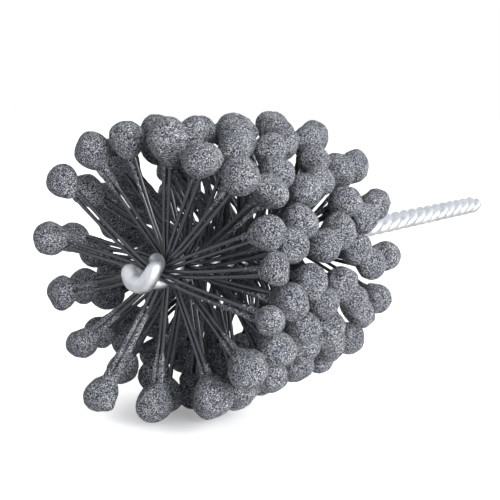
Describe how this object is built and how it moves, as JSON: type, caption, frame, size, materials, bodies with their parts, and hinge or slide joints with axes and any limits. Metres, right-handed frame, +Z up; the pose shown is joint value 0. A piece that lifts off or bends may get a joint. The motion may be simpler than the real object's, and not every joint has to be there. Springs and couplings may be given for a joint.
{
  "type": "flexible ball hone",
  "caption": "Flexible ball hone: abrasive balls on crossing nylon filaments gripped in a twisted wire stem, for deburring and finishing bores.",
  "frame": {"origin": "centre of the shank's cut drive end, on the stem's axis", "axes": "+X along the stem, out of the drive end; the ball head is at -X; +Z up as it lies in the picture"},
  "size_m": [0.2033, 0.0698, 0.0703],
  "materials": {
    "wire": "satin",
    "nylon": "satin",
    "grit": "matte"
  },
  "bodies": {
    "stem": {"stem_wire": "wire"},
    "ring_1": {"ring_1_balls_a": "grit", "ring_1_balls_b": "grit", "ring_1_balls_c": "grit", "ring_1_balls_d": "grit", "ring_1_filaments_a": "nylon", "ring_1_filaments_b": "nylon"},
    "ring_2": {"ring_2_balls_a": "grit", "ring_2_balls_b": "grit", "ring_2_balls_c": "grit", "ring_2_balls_d": "grit", "ring_2_filaments_a": "nylon", "ring_2_filaments_b": "nylon"},
    "ring_3": {"ring_3_balls_a": "grit", "ring_3_balls_b": "grit", "ring_3_balls_c": "grit", "ring_3_balls_d": "grit", "ring_3_filaments_a": "nylon", "ring_3_filaments_b": "nylon"},
    "ring_4": {"ring_4_balls_a": "grit", "ring_4_balls_b": "grit", "ring_4_balls_c": "grit", "ring_4_balls_d": "grit", "ring_4_filaments_a": "nylon", "ring_4_filaments_b": "nylon"},
    "ring_5": {"ring_5_balls_a": "grit", "ring_5_balls_b": "grit", "ring_5_balls_c": "grit", "ring_5_balls_d": "grit", "ring_5_filaments_a": "nylon", "ring_5_filaments_b": "nylon"},
    "ring_6": {"ring_6_balls_a": "grit", "ring_6_balls_b": "grit", "ring_6_balls_c": "grit", "ring_6_balls_d": "grit", "ring_6_filaments_a": "nylon", "ring_6_filaments_b": "nylon"},
    "ring_7": {"ring_7_balls_a": "grit", "ring_7_balls_b": "grit", "ring_7_balls_c": "grit", "ring_7_balls_d": "grit", "ring_7_filaments_a": "nylon", "ring_7_filaments_b": "nylon"},
    "ring_8": {"ring_8_balls_a": "grit", "ring_8_balls_b": "grit", "ring_8_balls_c": "grit", "ring_8_balls_d": "grit", "ring_8_filaments_a": "nylon", "ring_8_filaments_b": "nylon"}
  },
  "joints": [
    {"name": "ring_1_drag", "type": "hinge", "parent": "stem", "child": "ring_1", "pos_m": [-0.15, 0, 0], "axis": [1, 0, 0], "range_deg": [-12, 12], "stiffness_Nm_per_rad": 0.8, "deforming": ["ring_1_filaments_a", "ring_1_filaments_b"]},
    {"name": "ring_2_drag", "type": "hinge", "parent": "stem", "child": "ring_2", "pos_m": [-0.15, 0, 0], "axis": [1, 0, 0], "range_deg": [-12, 12], "stiffness_Nm_per_rad": 0.8, "deforming": ["ring_2_filaments_a", "ring_2_filaments_b"]},
    {"name": "ring_3_drag", "type": "hinge", "parent": "stem", "child": "ring_3", "pos_m": [-0.15, 0, 0], "axis": [1, 0, 0], "range_deg": [-12, 12], "stiffness_Nm_per_rad": 0.8, "deforming": ["ring_3_filaments_a", "ring_3_filaments_b"]},
    {"name": "ring_4_drag", "type": "hinge", "parent": "stem", "child": "ring_4", "pos_m": [-0.15, 0, 0], "axis": [1, 0, 0], "range_deg": [-12, 12], "stiffness_Nm_per_rad": 0.8, "deforming": ["ring_4_filaments_a", "ring_4_filaments_b"]},
    {"name": "ring_5_drag", "type": "hinge", "parent": "stem", "child": "ring_5", "pos_m": [-0.15, 0, 0], "axis": [1, 0, 0], "range_deg": [-12, 12], "stiffness_Nm_per_rad": 0.8, "deforming": ["ring_5_filaments_a", "ring_5_filaments_b"]},
    {"name": "ring_6_drag", "type": "hinge", "parent": "stem", "child": "ring_6", "pos_m": [-0.15, 0, 0], "axis": [1, 0, 0], "range_deg": [-12, 12], "stiffness_Nm_per_rad": 0.8, "deforming": ["ring_6_filaments_a", "ring_6_filaments_b"]},
    {"name": "ring_7_drag", "type": "hinge", "parent": "stem", "child": "ring_7", "pos_m": [-0.15, 0, 0], "axis": [1, 0, 0], "range_deg": [-12, 12], "stiffness_Nm_per_rad": 0.8, "deforming": ["ring_7_filaments_a", "ring_7_filaments_b"]},
    {"name": "ring_8_drag", "type": "hinge", "parent": "stem", "child": "ring_8", "pos_m": [-0.15, 0, 0], "axis": [1, 0, 0], "range_deg": [-12, 12], "stiffness_Nm_per_rad": 0.8, "deforming": ["ring_8_filaments_a", "ring_8_filaments_b"]}
  ],
  "couplings": [
    {"joint": "ring_2_drag", "follows": "ring_1_drag", "ratio": 1},
    {"joint": "ring_3_drag", "follows": "ring_1_drag", "ratio": 1},
    {"joint": "ring_4_drag", "follows": "ring_1_drag", "ratio": 1},
    {"joint": "ring_5_drag", "follows": "ring_1_drag", "ratio": 1},
    {"joint": "ring_6_drag", "follows": "ring_1_drag", "ratio": 1},
    {"joint": "ring_7_drag", "follows": "ring_1_drag", "ratio": 1},
    {"joint": "ring_8_drag", "follows": "ring_1_drag", "ratio": 1}
  ]
}
